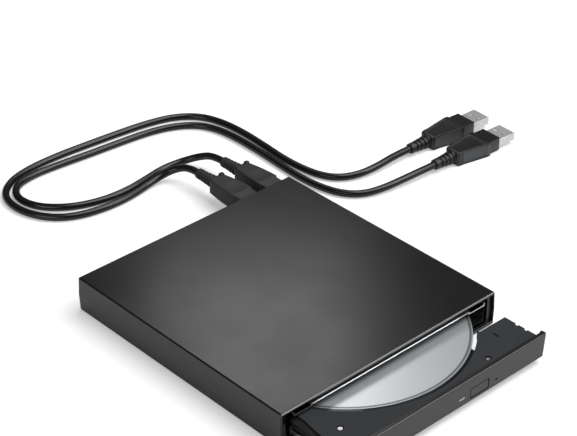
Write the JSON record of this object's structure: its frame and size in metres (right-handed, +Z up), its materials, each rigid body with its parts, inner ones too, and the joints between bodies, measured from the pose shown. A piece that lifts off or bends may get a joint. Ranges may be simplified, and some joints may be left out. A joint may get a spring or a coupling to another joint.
{
  "type": "external disc drive",
  "caption": "Slim external optical disc drive: two-part case, tray on telescopic rails with disc, pickup and latch inside, data and power leads plugged in at the back.",
  "frame": {"origin": "on the table under the middle of the case, where its feet rest", "axes": "+Z up, -Y towards the front where the tray comes out, +X to the right seen from the front"},
  "size_m": [0.2779, 0.3031, 0.019],
  "materials": {
    "case_black": "satin black moulded plastic",
    "foot_rubber": "matt rubber",
    "screw_steel": "plated steel screws",
    "pan_steel": "galvanised sheet steel",
    "rail_steel": "bright steel strip",
    "board_green": "green lacquered circuit board",
    "chip_black": "moulded chip packages",
    "connector_black": "black connector plastic",
    "connector_white": "natural connector plastic",
    "socket_steel": "tinned steel shell",
    "guide_plastic": "slippery black plastic",
    "tray_plastic": "fine-grained dark grey plastic",
    "bezel_plastic": "satin dark grey plastic",
    "light_clear": "clear light guide",
    "latch_white": "natural plastic",
    "frame_steel": "plated steel frame",
    "damper_rubber": "soft rubber",
    "motor_metal": "turned aluminium",
    "hub_plastic": "hard black plastic",
    "disc_silver": "polycarbonate disc with a mirrored layer",
    "sled_metal": "die-cast sled",
    "lens_glass": "coated lens",
    "lead_black": "black flexible lead",
    "plug_black": "moulded black plug",
    "plug_steel": "plated plug shell"
  },
  "bodies": {
    "case": {"top_cover": "case_black", "bottom_cover": "case_black", "rubber_feet": "foot_rubber", "case_screws": "screw_steel", "drive_screws": "screw_steel", "bridge_board": "board_green", "bridge_chips": "chip_black", "bridge_connector": "connector_black", "usb_socket_shell": "socket_steel", "usb_socket_tongue": "connector_white", "power_socket_body": "connector_black", "power_socket_pin": "socket_steel", "drive_pan": "pan_steel", "drive_lid": "pan_steel", "lid_screws": "screw_steel", "drive_board": "board_green", "drive_chips": "chip_black", "drive_connector": "connector_black", "left_guide": "guide_plastic", "right_guide": "guide_plastic", "catch_post": "screw_steel", "data_cord": "lead_black", "power_cord": "lead_black", "data_rear_plug": "plug_black", "data_rear_tip": "plug_steel", "power_rear_plug": "plug_black", "power_rear_tip": "plug_steel", "data_plug_body": "plug_black", "data_plug_shell": "plug_steel", "power_plug_body": "plug_black", "power_plug_shell": "plug_steel"},
    "tray_unit": {"tray": "tray_plastic", "bezel": "bezel_plastic", "tray_screws": "screw_steel", "tray_board": "board_green", "eject_switch": "connector_black", "status_led": "connector_white", "light_pipe": "light_clear", "latch_solenoid": "connector_black", "traverse_frame": "frame_steel", "traverse_dampers": "damper_rubber", "traverse_screws": "screw_steel", "spindle_stator": "frame_steel", "guide_rods": "screw_steel", "sled_motor": "motor_metal"},
    "left_rail": {"left_rail": "rail_steel"},
    "right_rail": {"right_rail": "rail_steel"},
    "button": {"eject_button": "bezel_plastic"},
    "latch": {"latch_hook": "latch_white"},
    "spindle": {"spindle_rotor": "motor_metal", "turntable_hub": "hub_plastic", "turntable_pad": "damper_rubber", "hub_pawls": "latch_white", "disc": "disc_silver"},
    "sled": {"pickup_sled": "sled_metal", "lens_yokes": "frame_steel"},
    "lens": {"lens_holder": "hub_plastic", "objective_lens": "lens_glass"},
    "lead_screw": {"lead_screw": "screw_steel"}
  },
  "joints": [
    {"name": "tray_slide", "type": "slide", "parent": "case", "child": "tray_unit", "axis": [0, -1, 0], "range_m": [-0.0309, 0.0976]},
    {"name": "left_rail_slide", "type": "slide", "parent": "case", "child": "left_rail", "axis": [0, -1, 0], "range_m": [-0.01545, 0.0488]},
    {"name": "right_rail_slide", "type": "slide", "parent": "case", "child": "right_rail", "axis": [0, -1, 0], "range_m": [-0.01545, 0.0488]},
    {"name": "eject_button_press", "type": "slide", "parent": "tray_unit", "child": "button", "axis": [0, 1, 0], "range_m": [0, 0.0006], "stiffness_N_per_m": 600, "springref_m": -0.0003},
    {"name": "disc_spin", "type": "hinge", "parent": "tray_unit", "child": "spindle", "pos_m": [0.00134, -0.03792, 0.0116], "axis": [0, 0, 1], "continuous": true},
    {"name": "sled_slide", "type": "slide", "parent": "tray_unit", "child": "sled", "axis": [-0.682, -0.7314, 0], "range_m": [-0.017, 0.0175]},
    {"name": "lead_screw_spin", "type": "hinge", "parent": "tray_unit", "child": "lead_screw", "pos_m": [-0.03009, -0.04963, 0.0061], "axis": [-0.682, -0.7314, 0], "range_deg": [-2040, 2100]},
    {"name": "lens_focus", "type": "slide", "parent": "sled", "child": "lens", "axis": [0, 0, 1], "range_m": [-0.0004, 0.0004], "stiffness_N_per_m": 60},
    {"name": "latch_hook_turn", "type": "hinge", "parent": "tray_unit", "child": "latch", "pos_m": [0.0345, -0.094, 0.0061], "axis": [0, 0, 1], "range_deg": [0, 10], "stiffness_Nm_per_rad": 0.01, "springref_deg": -5.73}
  ],
  "couplings": [
    {"joint": "left_rail_slide", "follows": "tray_slide", "ratio": 0.5},
    {"joint": "right_rail_slide", "follows": "tray_slide", "ratio": 0.5},
    {"joint": "lead_screw_spin", "follows": "sled_slide", "rad_per_m": 2094.4}
  ]
}
